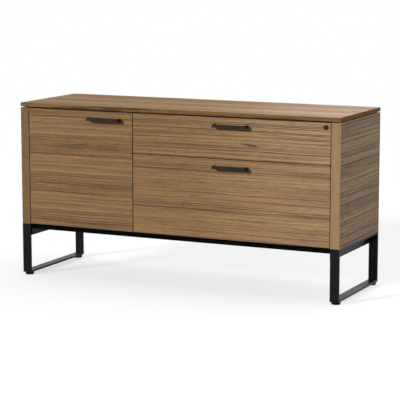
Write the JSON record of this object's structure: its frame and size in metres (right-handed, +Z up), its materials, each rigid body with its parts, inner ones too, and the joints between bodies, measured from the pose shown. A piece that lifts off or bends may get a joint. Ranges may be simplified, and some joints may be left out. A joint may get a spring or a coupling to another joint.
{
  "type": "multifunction storage cabinet",
  "caption": "Low storage cabinet with a hinged door, a shallow drawer with a lock above a deep file drawer, bar pulls, a top raised on a shadow gap, and flat-bar leg frames.",
  "frame": {"origin": "on the floor under the middle of the cabinet's overall box, pulls included", "axes": "+Z up, +X to the right seen from the front, +Y to the back"},
  "size_m": [1.435, 0.485, 0.737],
  "materials": {
    "walnut_veneer": "open-pore walnut veneer, satin lacquer",
    "back_board": "veneered hardboard, matt",
    "frame_steel": "black powder coat, fine texture",
    "pull_metal": "black powder coat, smooth",
    "spacer_black": "black laminate edge",
    "drawer_board": "lacquered birch plywood",
    "plated_steel": "zinc plated",
    "lock_metal": "black plated",
    "foot_plastic": "moulded, matt",
    "bumper_rubber": "soft, translucent grey",
    "beech_dowel": "fluted beech"
  },
  "bodies": {
    "cabinet": {"side_panel_left": "walnut_veneer", "side_panel_right": "walnut_veneer", "bottom_panel": "walnut_veneer", "sub_top_panel": "walnut_veneer", "divider_panel": "walnut_veneer", "back_panel": "back_board", "reveal_spacer": "spacer_black", "top_panel": "walnut_veneer", "panel_dowels": "beech_dowel", "shelf": "walnut_veneer", "shelf_pins": "plated_steel", "top_screws": "plated_steel", "leg_loop_right": "frame_steel", "leg_loop_left": "frame_steel", "rail_web_right": "frame_steel", "rail_web_left": "frame_steel", "crossbar_front": "frame_steel", "crossbar_rear": "frame_steel", "frame_screws": "plated_steel", "hinge_arms": "plated_steel", "hinge_pins": "plated_steel", "upper_slide_outers": "plated_steel", "file_slide_outers": "plated_steel"},
    "door": {"door_panel": "walnut_veneer", "door_pull": "pull_metal", "door_pull_screws": "plated_steel", "door_hinge_cups": "plated_steel", "door_bumpers": "bumper_rubber"},
    "door_links": {"hinge_links": "plated_steel"},
    "upper_drawer": {"upper_drawer_front": "walnut_veneer", "upper_drawer_side_left": "drawer_board", "upper_drawer_side_right": "drawer_board", "upper_drawer_inner_front": "drawer_board", "upper_drawer_back": "drawer_board", "upper_drawer_floor": "drawer_board", "upper_drawer_pull": "pull_metal", "upper_drawer_pull_screws": "plated_steel", "upper_slide_inners": "plated_steel", "lock_housing": "lock_metal", "lock_nut": "plated_steel"},
    "upper_runners": {"upper_slide_middles": "plated_steel"},
    "lock_core": {"lock_plug": "lock_metal", "lock_cam": "plated_steel", "lock_cam_screw": "plated_steel"},
    "file_drawer": {"file_drawer_front": "walnut_veneer", "file_drawer_side_left": "drawer_board", "file_drawer_side_right": "drawer_board", "file_drawer_inner_front": "drawer_board", "file_drawer_back": "drawer_board", "file_drawer_floor": "drawer_board", "file_drawer_pull": "pull_metal", "file_drawer_pull_screws": "plated_steel", "file_drawer_rails": "plated_steel", "file_slide_inners": "plated_steel"},
    "file_runners": {"file_slide_middles": "plated_steel"},
    "foot_front_left_screw": {"foot_front_left": "foot_plastic"},
    "foot_front_right_screw": {"foot_front_right": "foot_plastic"},
    "foot_rear_left_screw": {"foot_rear_left": "foot_plastic"},
    "foot_rear_right_screw": {"foot_rear_right": "foot_plastic"}
  },
  "joints": [
    {"name": "door_swing", "type": "hinge", "parent": "cabinet", "child": "door", "pos_m": [-0.6765, -0.2145, 0.46925], "axis": [0, 0, -1], "range_deg": [0, 105]},
    {"name": "door_link_turn", "type": "hinge", "parent": "cabinet", "child": "door_links", "pos_m": [-0.6755, -0.1925, 0.46925], "axis": [0, 0, -1], "range_deg": [0, 70]},
    {"name": "upper_drawer_slide", "type": "slide", "parent": "cabinet", "child": "upper_drawer", "axis": [0, -1, 0], "range_m": [0, 0.38]},
    {"name": "upper_runner_slide", "type": "slide", "parent": "cabinet", "child": "upper_runners", "axis": [0, -1, 0], "range_m": [0, 0.19]},
    {"name": "file_drawer_slide", "type": "slide", "parent": "cabinet", "child": "file_drawer", "axis": [0, -1, 0], "range_m": [0, 0.38]},
    {"name": "file_runner_slide", "type": "slide", "parent": "cabinet", "child": "file_runners", "axis": [0, -1, 0], "range_m": [0, 0.19]},
    {"name": "lock_turn", "type": "hinge", "parent": "upper_drawer", "child": "lock_core", "pos_m": [0.6565, -0.2145, 0.6965], "axis": [0, 1, 0], "range_deg": [0, 180]},
    {"name": "foot_front_left_turn", "type": "hinge", "parent": "cabinet", "child": "foot_front_left_screw", "pos_m": [-0.6985, -0.194, 0], "axis": [0, 0, 1], "continuous": true},
    {"name": "foot_front_right_turn", "type": "hinge", "parent": "cabinet", "child": "foot_front_right_screw", "pos_m": [0.6985, -0.194, 0], "axis": [0, 0, 1], "continuous": true},
    {"name": "foot_rear_left_turn", "type": "hinge", "parent": "cabinet", "child": "foot_rear_left_screw", "pos_m": [-0.6985, 0.222, 0], "axis": [0, 0, 1], "continuous": true},
    {"name": "foot_rear_right_turn", "type": "hinge", "parent": "cabinet", "child": "foot_rear_right_screw", "pos_m": [0.6985, 0.222, 0], "axis": [0, 0, 1], "continuous": true}
  ],
  "couplings": [
    {"joint": "door_link_turn", "follows": "door_swing", "ratio": 0.66},
    {"joint": "upper_runner_slide", "follows": "upper_drawer_slide", "ratio": 0.5},
    {"joint": "file_runner_slide", "follows": "file_drawer_slide", "ratio": 0.5}
  ]
}
